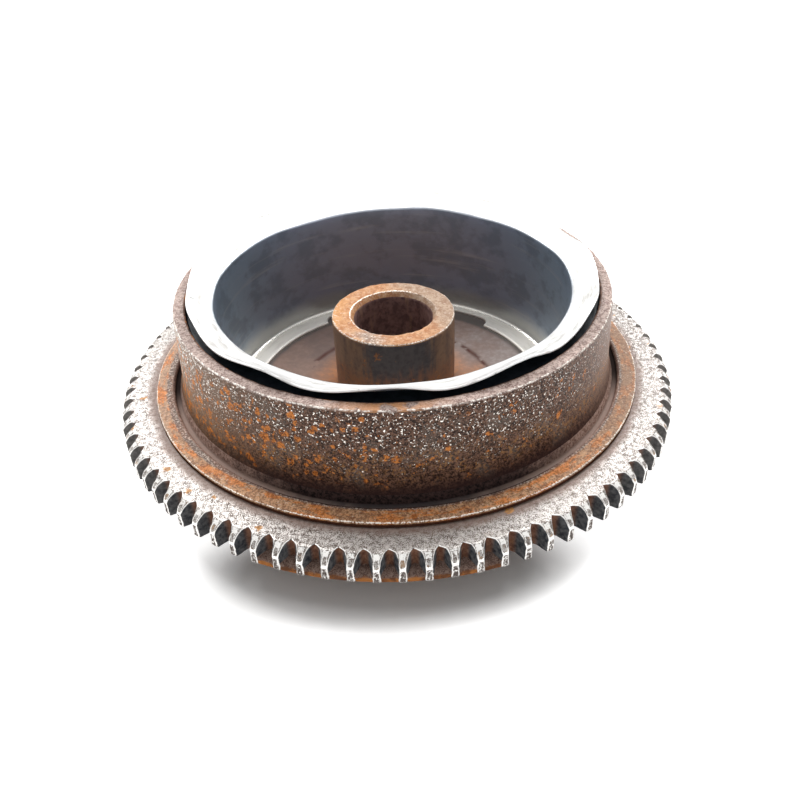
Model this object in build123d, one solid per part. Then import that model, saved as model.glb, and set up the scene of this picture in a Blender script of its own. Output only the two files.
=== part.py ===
from build123d import *
import math
import os

# A magneto rotor: a steel cup on a hub, lined with magnets, with a starter ring gear pressed on its base.
# Millimetres. The rotor turns about Z, its open side faces +Z, and it stands on its hub at z = 0.

# Liner: the thin stainless sleeve that holds the magnets and faces the stator
LINER_BORE_R = 53.65
LINER_THICKNESS = 0.8
LINER_LIP_WIDTH = 7.15
LIP_NOTCH_COUNT = 3
LIP_NOTCH_DEPTH = 4.1
LIP_NOTCH_ARC = 66.0
LIP_NOTCH_ANGLE = 83.6

# Liner flange: flared up and out towards the cup's rim, with one wave for each magnet
FLANGE_EDGE_GAP = 0.5
FLANGE_RISE = 2.8
FLANGE_WAVE = 1.4
FLANGE_WAVE_ANGLE = -90.0
SECTIONS_PER_WAVE = 6

# Magnets, the spacers between them, the ring they stand on and the resin poured over them
MAGNET_COUNT = 10
MAGNET_THICKNESS = 7.25
MAGNET_HEIGHT = 31.8
MAGNET_SPACING = 3.0
SEAT_HEIGHT = 4.0
POTTING_DEPTH = 1.5

# Cup: the wall's height is what stands above the resin, and it widens towards its foot
CUP_WALL = 3.6
WALL_DRAFT_ANGLE = 3.2
WALL_FOOT_HEIGHT = 5.0
WALL_FOOT_FLARE = 1.6
RIM_ABOVE_POTTING = 1.5
WEB_THICKNESS = 5.0
RIM_OUTER_BEVEL = 0.5
RIM_INNER_BEVEL = 0.5
WEB_CORNER_BEVEL = 3.0

# Base flange of the cup: a turned groove round the wall, then a lip that stops the ring gear
GROOVE_WIDTH = 2.3
GROOVE_DEPTH = 1.15
LIP_WIDTH = 5.05
LIP_HEIGHT = 1.65
LIP_BEVEL = 0.5
SHOULDER_WIDTH = 2.2
RING_ABOVE_WEB_UNDERSIDE = 7.5

# Ring gear: straight teeth, chamfered on the side where the pinion comes in
MODULE = 2.0
PRESSURE_ANGLE = 20.0
DEDENDUM = 2.5
ROOT_ROUND = 0.9
RING_RIM_LEAST = 8.8
RING_THICKNESS = 7.4
TOOTH_BEVEL_WIDTH = 3.0
TOOTH_BEVEL_HEIGHT = 2.35
FIRST_TOOTH_ANGLE = -90.0

# Hub: pressed through the web from below, against its own foot
BORE_R = 12.2
BORE_MOUTH_WIDTH = 1.2
BORE_MOUTH_DEPTH = 2.0
BORE_STRAIGHT_LENGTH = 8.8
BORE_TAPER = 0.1
HUB_WALL = 6.95
HUB_HEIGHT = 27.5
HUB_TOP_BEVEL = 0.6
HUB_FOOT_WIDTH = 7.6
HUB_FOOT_HEIGHT = 1.5
HUB_FOOT_BEVEL = 1.0
NUT_RECESS_WIDTH = 3.2
NUT_RECESS_DEPTH = 8.0
KEYWAY_WIDTH = 4.0
KEYWAY_DEPTH = 2.0

# Heights, worked out from the hub's foot upwards
WEB_Z = HUB_FOOT_HEIGHT
FLOOR_Z = WEB_Z + WEB_THICKNESS
RING_Z = WEB_Z + RING_ABOVE_WEB_UNDERSIDE
SHOULDER_Z = RING_Z + RING_THICKNESS
BASE_TOP_Z = SHOULDER_Z + LIP_HEIGHT
WALL_FOOT_Z = BASE_TOP_Z + WALL_FOOT_HEIGHT
MAGNET_Z = FLOOR_Z + SEAT_HEIGHT
POTTING_Z = MAGNET_Z + MAGNET_HEIGHT
POTTING_TOP_Z = POTTING_Z + POTTING_DEPTH
RIM_Z = POTTING_TOP_Z + RIM_ABOVE_POTTING
HUB_TOP_Z = FLOOR_Z + HUB_HEIGHT

# Radii, worked out from the stator bore outwards
LINER_R = LINER_BORE_R + LINER_THICKNESS
LINER_LIP_R = LINER_BORE_R - LINER_LIP_WIDTH
CUP_BORE_R = LINER_R + MAGNET_THICKNESS
CUP_R = CUP_BORE_R + CUP_WALL
WALL_R = CUP_R + (RIM_Z - WALL_FOOT_Z) * math.tan(math.radians(WALL_DRAFT_ANGLE))
WALL_FOOT_R = WALL_R + WALL_FOOT_FLARE
GROOVE_R = WALL_FOOT_R + GROOVE_WIDTH
BASE_R = GROOVE_R + LIP_WIDTH
REGISTER_R = BASE_R - SHOULDER_WIDTH
FLANGE_R = CUP_BORE_R - FLANGE_EDGE_GAP
HUB_R = BORE_R + HUB_WALL
HUB_FOOT_R = HUB_R + HUB_FOOT_WIDTH
NUT_RECESS_R = BORE_R + NUT_RECESS_WIDTH

# Ring gear radii: the fewest teeth that leave the ring its rim
TEETH_NEEDED = 2 * (REGISTER_R + RING_RIM_LEAST + DEDENDUM) / MODULE
TOOTH_COUNT = math.ceil(TEETH_NEEDED)
PITCH_R = MODULE * TOOTH_COUNT / 2
TIP_R = PITCH_R + MODULE
ROOT_R = PITCH_R - DEDENDUM
INVOLUTE_R = PITCH_R * math.cos(math.radians(PRESSURE_ANGLE))


def profile(*points):
    """A closed outline of (radius, height) points, as a face in the XZ plane."""
    return Plane.XZ * make_face(Polyline(*points, close=True))


def turned(*points):
    """The solid that an outline of (radius, height) points sweeps about Z."""
    return revolve(profile(*points), axis=Axis.Z)


def block(inner_r, outer_r, low_z, high_z):
    """A plain ring of square section."""
    return turned((inner_r, low_z), (outer_r, low_z), (outer_r, high_z), (inner_r, high_z))


def rotor_cup():
    """Web, wall and base flange in one turned piece, bored for the hub, with a groove round the wall's foot."""
    outline = Polyline(
        (WALL_FOOT_R, BASE_TOP_Z),
        (WALL_R, WALL_FOOT_Z),
        (CUP_R, RIM_Z - RIM_OUTER_BEVEL),
        (CUP_R - RIM_OUTER_BEVEL, RIM_Z),
        (CUP_BORE_R + RIM_INNER_BEVEL, RIM_Z),
        (CUP_BORE_R, RIM_Z - RIM_INNER_BEVEL),
        (CUP_BORE_R, FLOOR_Z),
        (HUB_R, FLOOR_Z),
        (HUB_R, WEB_Z),
        (CUP_R - WEB_CORNER_BEVEL, WEB_Z),
        (CUP_R, WEB_Z + WEB_CORNER_BEVEL),
        (CUP_R, RING_Z),
        (REGISTER_R, RING_Z),
        (REGISTER_R, SHOULDER_Z),
        (BASE_R, SHOULDER_Z),
        (BASE_R, BASE_TOP_Z - LIP_BEVEL),
        (BASE_R - LIP_BEVEL, BASE_TOP_Z),
        (GROOVE_R, BASE_TOP_Z),
    )
    groove_bottom = ((WALL_FOOT_R + GROOVE_R) / 2, BASE_TOP_Z - GROOVE_DEPTH)
    groove = ThreePointArc((GROOVE_R, BASE_TOP_Z), groove_bottom, (WALL_FOOT_R, BASE_TOP_Z))
    return revolve(Plane.XZ * make_face([outline, groove]), axis=Axis.Z)


def hub():
    """Foot, barrel and bore: a straight mouth, then a keyed taper, then a recess for the nut."""
    taper_top_z = HUB_TOP_Z - BORE_STRAIGHT_LENGTH
    taper_end_r = BORE_R - BORE_TAPER * (taper_top_z - NUT_RECESS_DEPTH)
    barrel = turned(
        (NUT_RECESS_R, 0),
        (HUB_FOOT_R - HUB_FOOT_BEVEL, 0),
        (HUB_FOOT_R, HUB_FOOT_BEVEL),
        (HUB_FOOT_R, WEB_Z),
        (HUB_R, WEB_Z),
        (HUB_R, HUB_TOP_Z - HUB_TOP_BEVEL),
        (HUB_R - HUB_TOP_BEVEL, HUB_TOP_Z),
        (BORE_R + BORE_MOUTH_WIDTH, HUB_TOP_Z),
        (BORE_R, HUB_TOP_Z - BORE_MOUTH_DEPTH),
        (BORE_R, taper_top_z),
        (taper_end_r, NUT_RECESS_DEPTH),
        (NUT_RECESS_R, NUT_RECESS_DEPTH),
    )
    keyway_r = taper_end_r + KEYWAY_DEPTH
    keyway_length = taper_top_z - NUT_RECESS_DEPTH
    keyway = Pos(keyway_r / 2, 0, NUT_RECESS_DEPTH + keyway_length / 2)
    return barrel - keyway * Box(keyway_r, KEYWAY_WIDTH, keyway_length)


def polar(radius, angle):
    """A point in the XY plane, from an angle in radians."""
    return (radius * math.cos(angle), radius * math.sin(angle))


def involute(angle):
    return math.tan(angle) - angle


def half_tooth(radius):
    """Half the angle that a tooth fills at this radius."""
    at_pitch = math.pi / (2 * TOOTH_COUNT) + involute(math.radians(PRESSURE_ANGLE))
    return at_pitch - involute(math.acos(INVOLUTE_R / radius))


def tooth_edges(tooth):
    """One tooth's flanks and tip, and the round root up to the next tooth."""
    pitch = 2 * math.pi / TOOTH_COUNT
    middle = math.radians(FIRST_TOOTH_ANGLE) + tooth * pitch
    flank_start_r = ROOT_R + ROOT_ROUND
    flank_middle_r = (flank_start_r + TIP_R) / 2
    radii = (flank_start_r, flank_middle_r, TIP_R)
    rising = [polar(r, middle - half_tooth(r)) for r in radii]
    falling = [polar(r, middle + half_tooth(r)) for r in reversed(radii)]
    next_start = polar(flank_start_r, middle + pitch - half_tooth(flank_start_r))
    return [
        ThreePointArc(*rising),
        ThreePointArc(rising[-1], polar(TIP_R, middle), falling[0]),
        ThreePointArc(*falling),
        ThreePointArc(falling[-1], polar(ROOT_R, middle + pitch / 2), next_start),
    ]


def ring_gear():
    """A toothed disc trimmed to the ring's turned section, with its first tooth in front."""
    outline = Wire([edge for tooth in range(TOOTH_COUNT) for edge in tooth_edges(tooth)])
    toothed = extrude(Pos(0, 0, RING_Z) * make_face(outline), amount=RING_THICKNESS, dir=(0, 0, 1))
    blank = turned(
        (REGISTER_R, RING_Z),
        (TIP_R, RING_Z),
        (TIP_R, SHOULDER_Z - TOOTH_BEVEL_HEIGHT),
        (TIP_R - TOOTH_BEVEL_WIDTH, SHOULDER_Z),
        (REGISTER_R, SHOULDER_Z),
    )
    return blank & toothed


def flange_section(angle):
    """The flared flange's cut at one angle: rooted in the sleeve's wall, its edge lifted by the wave."""
    turn = math.radians(angle - FLANGE_WAVE_ANGLE) * MAGNET_COUNT
    edge_z = RIM_Z + FLANGE_RISE + FLANGE_WAVE * math.cos(turn)
    root_r = LINER_BORE_R + LINER_THICKNESS / 2
    section = profile(
        (root_r, RIM_Z - LINER_THICKNESS),
        (FLANGE_R, edge_z - LINER_THICKNESS),
        (FLANGE_R, edge_z),
        (root_r, RIM_Z),
    )
    return Rot(0, 0, angle) * section


def flange_half(start):
    """Half of the wavy flange, lofted through sections at even angles."""
    steps = round(MAGNET_COUNT * SECTIONS_PER_WAVE / 2)
    return loft([flange_section(start + step * 180 / steps) for step in range(steps + 1)])


def magnet_liner():
    """Sleeve with a wavy flange above the magnets and a notched lip on the cup's floor."""
    sleeve = block(LINER_BORE_R, LINER_R, FLOOR_Z, RIM_Z)
    lip = block(LINER_LIP_R, LINER_R, FLOOR_Z, FLOOR_Z + LINER_THICKNESS)
    for notch in range(LIP_NOTCH_COUNT):
        start = LIP_NOTCH_ANGLE - LIP_NOTCH_ARC / 2 + notch * 360 / LIP_NOTCH_COUNT
        path = CenterArc((0, 0), LINER_LIP_R, start, LIP_NOTCH_ARC)
        opening = Pos(0, 0, FLOOR_Z) * SlotArc(path, 2 * LIP_NOTCH_DEPTH)
        lip -= extrude(opening, amount=LINER_THICKNESS, dir=(0, 0, 1))
    return sleeve + lip + flange_half(0) + flange_half(180)


def magnet_ring_piece(middle, width, low_z, high_z):
    """A curved block between the liner and the cup, as wide as the angle given."""
    section = profile((LINER_R, low_z), (CUP_BORE_R, low_z), (CUP_BORE_R, high_z), (LINER_R, high_z))
    return Rot(0, 0, middle - width / 2) * revolve(section, axis=Axis.Z, revolution_arc=width)


def magnets_and_spacers():
    """Curved magnets in a ring with a spacer after each, as pairs of node name and solid."""
    pitch = 360 / MAGNET_COUNT
    spacer_width = math.degrees(MAGNET_SPACING / CUP_BORE_R)
    pieces = {}
    for number in range(MAGNET_COUNT):
        middle = FLANGE_WAVE_ANGLE + number * pitch
        magnet = magnet_ring_piece(middle, pitch - spacer_width, MAGNET_Z, POTTING_Z)
        spacer = magnet_ring_piece(middle + pitch / 2, spacer_width, MAGNET_Z, POTTING_Z)
        pieces[f"magnet_{number + 1:02d}"] = magnet
        pieces[f"magnet_spacer_{number + 1:02d}"] = spacer
    return pieces


nodes = {
    "rotor_cup": rotor_cup(),
    "hub": hub(),
    "ring_gear": ring_gear(),
    "magnet_liner": magnet_liner(),
    "magnet_seat_ring": block(LINER_R, CUP_BORE_R, FLOOR_Z, MAGNET_Z),
    "potting_ring": block(LINER_R, CUP_BORE_R, POTTING_Z, POTTING_TOP_Z),
    **magnets_and_spacers(),
}

os.makedirs("parts", exist_ok=True)
for name, solid in nodes.items():
    export_step(solid, f"parts/{name}.step")
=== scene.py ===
import math
import random
from collections import namedtuple

import bmesh
import bpy
import numpy as np
from mathutils import Matrix, Vector, noise


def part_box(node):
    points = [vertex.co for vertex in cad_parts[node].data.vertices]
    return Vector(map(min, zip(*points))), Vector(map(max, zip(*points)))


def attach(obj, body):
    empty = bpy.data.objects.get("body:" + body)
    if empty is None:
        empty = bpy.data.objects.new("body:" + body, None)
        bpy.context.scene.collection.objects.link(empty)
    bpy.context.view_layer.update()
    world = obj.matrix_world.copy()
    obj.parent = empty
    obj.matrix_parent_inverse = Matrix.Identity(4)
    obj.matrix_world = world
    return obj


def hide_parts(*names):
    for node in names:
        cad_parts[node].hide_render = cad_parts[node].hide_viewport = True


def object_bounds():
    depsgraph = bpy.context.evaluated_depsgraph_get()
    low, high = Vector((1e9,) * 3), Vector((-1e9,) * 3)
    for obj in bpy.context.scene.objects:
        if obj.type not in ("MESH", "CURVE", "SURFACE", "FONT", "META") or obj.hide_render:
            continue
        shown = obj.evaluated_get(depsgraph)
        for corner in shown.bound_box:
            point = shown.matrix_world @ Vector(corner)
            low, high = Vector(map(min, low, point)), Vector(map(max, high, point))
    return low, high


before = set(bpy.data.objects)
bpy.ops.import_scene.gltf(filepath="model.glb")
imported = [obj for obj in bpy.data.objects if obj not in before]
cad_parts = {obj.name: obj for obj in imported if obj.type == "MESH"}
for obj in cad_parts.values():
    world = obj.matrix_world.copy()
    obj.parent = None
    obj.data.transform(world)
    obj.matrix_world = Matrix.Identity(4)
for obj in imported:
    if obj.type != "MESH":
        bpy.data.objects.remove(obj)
cad_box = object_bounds()

MM = 0.001
BODY = "root"
random.seed(7)


def reach(node):
    """How far a node goes out from the axis."""
    return -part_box(node)[0].y


def low(node):
    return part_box(node)[0].z


def top(node):
    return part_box(node)[1].z


# Sizes read from the frame
TIP_R = reach("ring_gear")
RING_Z = low("ring_gear")
LAND_Z = top("ring_gear")
BASE_R = reach("rotor_cup")
WEB_Z = low("rotor_cup")
RIM_Z = top("rotor_cup")
FOOT_R = reach("hub")
HUB_TOP_Z = top("hub")
FLOOR_Z = low("magnet_liner")
FLANGE_R = reach("magnet_liner")
FLANGE_TOP_Z = top("magnet_liner")
CUP_BORE_R = reach("potting_ring")
RESIN_TOP_Z = top("potting_ring")

# Sizes that the frame's boxes don't give
WALL_THICKNESS = 3.6 * MM
WALL_LEAN = math.radians(3.2)
LIP_HEIGHT = 1.65 * MM
FOOT_HEIGHT = 5 * MM
FOOT_FLARE = 1.6 * MM
GROOVE_WIDTH = 1.9 * MM
RING_SEAT = 2.2 * MM
HUB_FOOT_STEP = 7.6 * MM
HUB_THICKNESS = 6.95 * MM
MAGNET_SPACE = 8.05 * MM
LINER_WALL = 0.8 * MM
FLOOR_LIP_WIDTH = 7.15 * MM

CUP_R = CUP_BORE_R + WALL_THICKNESS
BASE_TOP_Z = LAND_Z + LIP_HEIGHT
WALL_FOOT_Z = BASE_TOP_Z + FOOT_HEIGHT
WALL_R = CUP_R + (RIM_Z - WALL_FOOT_Z) * math.tan(WALL_LEAN)
WALL_FOOT_R = WALL_R + FOOT_FLARE
GROOVE_R = WALL_FOOT_R + GROOVE_WIDTH
REGISTER_R = BASE_R - RING_SEAT
HUB_R = FOOT_R - HUB_FOOT_STEP
BORE_R = HUB_R - HUB_THICKNESS
LINER_BORE_R = CUP_BORE_R - MAGNET_SPACE
LIP_R = LINER_BORE_R - FLOOR_LIP_WIDTH


# Node helpers

class Field:
    """A node's output that varies over a surface, with plain arithmetic."""

    def __init__(self, finish, socket):
        self.finish = finish
        self.socket = socket

    def __add__(self, other):
        return self.finish.math("ADD", self, other)

    def __sub__(self, other):
        return self.finish.math("SUBTRACT", self, other)

    def __rsub__(self, other):
        return self.finish.math("SUBTRACT", other, self)

    def __mul__(self, other):
        return self.finish.math("MULTIPLY", self, other)

    def __abs__(self):
        return self.finish.math("ABSOLUTE", self)


class Finish:
    """A material's node tree, with a short call for each kind of node that the finishes use.

    turn is the angle round the axis from the front, and aside the angle from the front or the
    back, whichever is nearer. Both are positive on the right. Noise, flecks and bumps have their
    sizes in mm.
    """

    def __init__(self, name):
        self.material = bpy.data.materials.new(name)
        self.material.use_nodes = True
        self.tree = self.material.node_tree
        self.tree.nodes.clear()
        self.place = self.node("TexCoord").outputs["Object"]
        axes = self.node("SeparateXYZ", {0: self.place}).outputs
        self.x, self.y, self.z = (Field(self, axis) for axis in axes)
        flat = self.field("CombineXYZ", {0: self.x, 1: self.y})
        self.r = Field(self, self.vector("LENGTH", flat, output="Value"))
        self.turn = self.math("ARCTAN2", self.x, self.y * -1.0)
        self.aside = self.math("ARCTAN2", self.x, abs(self.y))
        around = {0: self.turn * CUP_R, 1: self.z, 2: self.r}
        self.wrapped = self.field("CombineXYZ", around)

    def node(self, kind, inputs=(), **settings):
        made = self.tree.nodes.new("ShaderNode" + kind)
        for name, value in settings.items():
            setattr(made, name, value)
        for key, value in dict(inputs).items():
            self.feed(made.inputs[key], value)
        return made

    def field(self, kind, inputs=(), output=0, **settings):
        return Field(self, self.node(kind, inputs, **settings).outputs[output])

    def feed(self, socket, value):
        """Link a field or an output to a socket, or set the socket to a constant."""
        if isinstance(value, Field):
            value = value.socket
        if isinstance(value, bpy.types.NodeSocket):
            self.tree.links.new(value, socket)
        else:
            socket.default_value = value

    def vector(self, operation, *values, output="Vector"):
        inputs = dict(enumerate(values))
        return self.node("VectorMath", inputs, operation=operation).outputs[output]

    def math(self, operation, first, second=0.0):
        return self.field("Math", {0: first, 1: second}, operation=operation)

    def most(self, first, *more):
        for value in more:
            first = self.math("MAXIMUM", first, value)
        return first

    def coordinates(self, size, stretch, seed, wrap):
        """Places in units of size; wrapped ones run round the axis, up it and out from it."""
        scale = tuple(s / (size * MM) for s in stretch)
        offset = (seed, 1.7 * seed, 2.3 * seed)
        return self.vector("MULTIPLY_ADD", self.wrapped if wrap else self.place, scale, offset)

    def noise(self, size, detail, rough, stretch=(1, 1, 1), seed=0, wrap=False):
        where = self.coordinates(size, stretch, seed, wrap)
        inputs = {"Vector": where, "Scale": 1.0, "Detail": detail, "Roughness": rough}
        return self.field("TexNoise", inputs)

    def flecks(self, size, share, spread, warp, stretch=(1, 1, 1), seed=0, wrap=False):
        """Dots in a share of a scatter's cells, each of its own width, bent by the warp."""
        where = self.coordinates(size, stretch, seed, wrap)
        wobble = {"Vector": where, "Scale": 5.0, "Detail": 3.0}
        wobble = self.field("TexNoise", wobble, "Color")
        where = self.vector("MULTIPLY_ADD", wobble, (warp, warp, warp), where)
        scatter = {"Vector": where, "Scale": 1.0}
        scatter = self.node("TexVoronoi", scatter, voronoi_dimensions="2D").outputs
        chance = self.node("SeparateColor", {0: scatter["Color"]}).outputs
        width = self.blend(chance[1], 0.6 * spread, 1.4 * spread)
        dot = self.ramp(width - scatter["Distance"], 0.0, 0.1)
        return dot * self.ramp(self.math("SUBTRACT", share, chance[0]), 0.0, 0.04)

    def ramp(self, value, start, end, smooth=True):
        """0 at start, 1 at end."""
        kind = "SMOOTHSTEP" if smooth else "LINEAR"
        inputs = {"Value": value, "From Min": start, "From Max": end}
        return self.field("MapRange", inputs, interpolation_type=kind)

    def blend(self, factor, start, end):
        """A number between two."""
        inputs = {"Value": factor, "To Min": start, "To Max": end}
        return self.field("MapRange", inputs)

    def band(self, value, middle, half):
        """1 at the middle, 0 beyond half on either side."""
        return self.ramp(abs(value - middle), half, 0.0)

    def mix(self, factor, first, second):
        """A colour between two. The node has its colours in sockets 6, 7 and 2."""
        first, second = ((*c, 1.0) if isinstance(c, tuple) else c for c in (first, second))
        inputs = {0: factor, 6: first, 7: second}
        return self.node("Mix", inputs, data_type="RGBA").outputs[2]

    def base(self, factor, first, second):
        self.color = self.mix(factor, first, second)

    def coat(self, factor, color):
        """Lay a colour over what is there."""
        self.base(factor, self.color, color)

    def mark(self, name):
        """A number that the mesh carries on its points."""
        return self.field("Attribute", output="Fac", attribute_name=name)

    def bump(self, height, distance, strength):
        inputs = {"Height": height, "Distance": distance * MM, "Strength": strength}
        return self.field("Bump", inputs)

    def done(self, roughness, metallic=0.0, normal=None, gloss=0.5):
        inputs = {"Base Color": self.color, "Roughness": roughness, "Metallic": metallic,
                  "Specular IOR Level": gloss}
        if normal is not None:
            inputs["Normal"] = normal
        shader = self.node("BsdfPrincipled", inputs)
        self.node("OutputMaterial", {"Surface": shader.outputs[0]})
        return self.material


# Finishes

ORANGE_DEEP = (0.55, 0.2, 0.055)


def wall_finish():
    """The wall: brown scale, painted glints, orange on the left, sooty rust and painted shade at
    its foot.
    """
    grey, tan, mauve = (0.2, 0.165, 0.14), (0.52, 0.35, 0.23), (0.42, 0.29, 0.235)
    ochre, soot_and_shade, steel = (0.5, 0.24, 0.085), (0.052, 0.028, 0.026), (0.94, 0.89, 0.82)
    f = Finish("cup_wall_rust")
    up = f.ramp(f.z, BASE_TOP_Z, RIM_Z, smooth=False)
    left = f.ramp(f.aside, -0.3, -1.15)
    right = f.ramp(f.aside, 0.6, 1.3)
    grain = f.noise(0.5, 2, 0.6, seed=3)
    mottle = f.noise(1.4, 4, 0.65, seed=2)
    patches = f.noise(7, 4, 0.6, seed=1)
    tone = grain * 0.6 + mottle * 0.4
    f.base(f.ramp(tone, 0.41, 0.6), (0.022, 0.009, 0.006), (0.25, 0.135, 0.09))
    f.coat(f.ramp(patches, 0.5, 0.66) * 0.4, grey)
    f.coat(left * 0.45, tan)
    f.coat(right * 0.55, mauve)
    specks = f.ramp(f.noise(0.9, 4, 0.7, seed=4), 0.5, 0.6)
    low_grain = specks * f.band(up, 0.36, 0.32) * f.ramp(patches, 0.36, 0.56) * 0.8
    f.coat(low_grain, ochre)
    f.coat(specks * left * f.ramp(up, 0.95, 0.6) * 0.35, ORANGE_DEEP)
    below, above = f.ramp(up, 1.0, 0.8), f.ramp(up, 0.08, 0.2)
    share = f.blend(f.ramp(f.aside, 0.25, -0.5), 0.08, 0.5) * above * below
    spots = f.flecks(5.2, share, 0.24, seed=5, wrap=True, warp=0.4)
    spots = f.most(spots, f.flecks(2.6, share * 0.6, 0.27, seed=6, wrap=True, warp=0.45))
    blotch = f.noise(3.2, 4, 0.68, seed=9) + f.ramp(f.aside, 0.2, -0.9) * 0.06
    blotches = f.ramp(blotch, 0.63, 0.67) * above * below * (1 - right * 0.8)
    spots = f.most(spots * f.ramp(blotch, 0.36, 0.46), blotches)
    rust = f.mix(f.ramp(tone, 0.4, 0.6), (0.45, 0.13, 0.025), (0.95, 0.34, 0.08))
    f.coat(spots * f.ramp(tone, 0.36, 0.46), rust)
    # Darker towards the foot, most in front: sooty rust, and painted shade beside the groove.
    foot = f.ramp(up + mottle * 0.16, 0.36, 0.12)
    f.coat(foot * (1 - f.most(left, right) * 0.6), soot_and_shade)
    # Glints and dashes: metallic flecks, thickest high up and fewer to the right, are painted
    # highlights for the sheen of glossy rust; rubbed edges are wear.
    high = f.ramp(up + patches * 0.6, 0.5, 1.05)
    upper = f.ramp(up + patches * 0.5, 0.45, 0.65)
    glint = f.noise(0.55, 2, 0.6, seed=7)
    glints = f.ramp(glint + high * (1 - right * 0.7) * 0.07, 0.68, 0.73)
    dash = f.noise(0.75, 2, 0.6, stretch=(0.7, 1.3, 1), seed=8, wrap=True)
    dashes = f.ramp(dash + high * left * 0.1, 0.68, 0.73)
    rubbed = f.ramp(f.mark("worn") + grain * 1.4, 1.52, 1.74)
    bare = f.most(f.most(glints, dashes) * upper, rubbed) * (1 - spots)
    f.coat(bare, steel)
    gloss = f.ramp(up, 0.12, 0.5) * 0.25
    normal = f.bump(mottle * 0.7 + grain * 0.7, 0.3, 0.9)
    return f.done(f.blend(bare, 0.55, 0.28), bare * 0.85, normal, gloss)


def foot_finish():
    """The wall's foot and the groove: near black in front, brown and mauve round the sides, with
    painted shade in the groove and round the back.
    """
    painted_slit_shadow = (0.03, 0.022, 0.02)
    f = Finish("cup_foot_rust")
    mottle = f.noise(1.2, 4, 0.6, seed=12)
    grain = f.noise(0.5, 3, 0.6, seed=13)
    patches = f.noise(6, 3, 0.6, seed=14)
    from_front = abs(f.turn)
    sides = f.ramp(from_front + patches * 0.5, 0.6, 1.15)
    painted_lit_groove = f.ramp(from_front + patches * 0.5, 0.35, 0.8)
    tone = f.ramp(mottle * 0.5 + grain * 0.5, 0.38, 0.62)
    f.base(tone, (0.022, 0.016, 0.016), (0.09, 0.055, 0.05))
    f.coat(sides, f.mix(tone, (0.24, 0.15, 0.12), (0.58, 0.4, 0.33)))
    # Painted shade: the groove is darker, lighter at the sides where painted light falls, and
    # near black in a narrow gap round the back.
    groove = f.ramp(f.z, BASE_TOP_Z - 0.3 * MM, BASE_TOP_Z - 0.9 * MM)
    painted_slit_shade = f.ramp(from_front, 1.1, 1.4)
    shade = f.mix(painted_slit_shade, f.mix(painted_lit_groove, (0.12, 0.1, 0.098), (0.42, 0.31, 0.265)), painted_slit_shadow)
    f.coat(f.most(groove, painted_slit_shade * 0.55), shade)
    return f.done(0.7, 0.0, f.bump(mottle, 0.25, 0.8), 0.0)


def lip_finish():
    """The lip: tan with orange patches, its outer edge rubbed bright and its face painted dark as
    shade.
    """
    mauve, cream, steel = (0.58, 0.44, 0.35), (0.9, 0.75, 0.6), (0.97, 0.9, 0.8)
    f = Finish("cup_lip_rust")
    grain = f.noise(0.5, 3, 0.65, seed=15)
    mottle = f.noise(1.5, 4, 0.62, seed=16)
    tone = grain * 0.6 + mottle * 0.4
    strong_tone = f.ramp(tone, 0.4, 0.6)
    f.base(strong_tone, (0.265, 0.112, 0.05), (0.77, 0.45, 0.25))
    bloom = f.noise(4.5, 4, 0.6, stretch=(0.6, 1, 1.6), seed=17, wrap=True)
    right = f.ramp(f.aside, 0.5, 1.3)
    f.coat(right * 0.75, f.mix(tone, (0.18, 0.1, 0.065), (0.45, 0.31, 0.22)))
    f.coat(f.ramp(f.aside, -0.7, -1.4) * 0.4, mauve)
    bloom = f.ramp(bloom, 0.47, 0.57) * f.blend(right, 1.0, 0.35)
    orange = f.mix(strong_tone, (0.5, 0.14, 0.025), (0.98, 0.35, 0.08))
    f.coat(bloom * f.blend(grain, 0.55, 1.0), orange)
    pale = f.ramp(f.noise(0.6, 2, 0.6, seed=18), 0.62, 0.68)
    f.coat(pale * 0.6, cream)
    # The lip's outer face is painted dark: painted shade over its rust.
    face = f.ramp(f.z, BASE_TOP_Z - 0.55 * MM, BASE_TOP_Z - 0.85 * MM)
    f.coat(face, f.mix(mottle, (0.05, 0.022, 0.016), (0.16, 0.07, 0.042)))
    span = f.r + mottle * (0.8 * MM) - f.ramp(f.aside, -0.5, -0.95) * (1.2 * MM)
    by_groove = f.ramp(span, GROOVE_R + 1.9 * MM, GROOVE_R + 1.1 * MM)
    grey = f.mix(f.ramp(grain, 0.5, 0.62), (0.13, 0.1, 0.09), (0.7, 0.63, 0.57))
    f.coat(by_groove * 0.8, grey)
    edge = f.mark("worn") * f.ramp(f.r, GROOVE_R + 2 * MM, BASE_R - 1.2 * MM)
    rubbed = f.ramp(edge + grain * 1.6, 1.52, 1.72) * (1 - face)
    f.coat(rubbed, steel)
    normal = f.bump(mottle * 0.6 + grain * 0.6, 0.25, 0.8)
    return f.done(0.55, rubbed * 0.5, normal, (1 - face) * 0.3)


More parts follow.
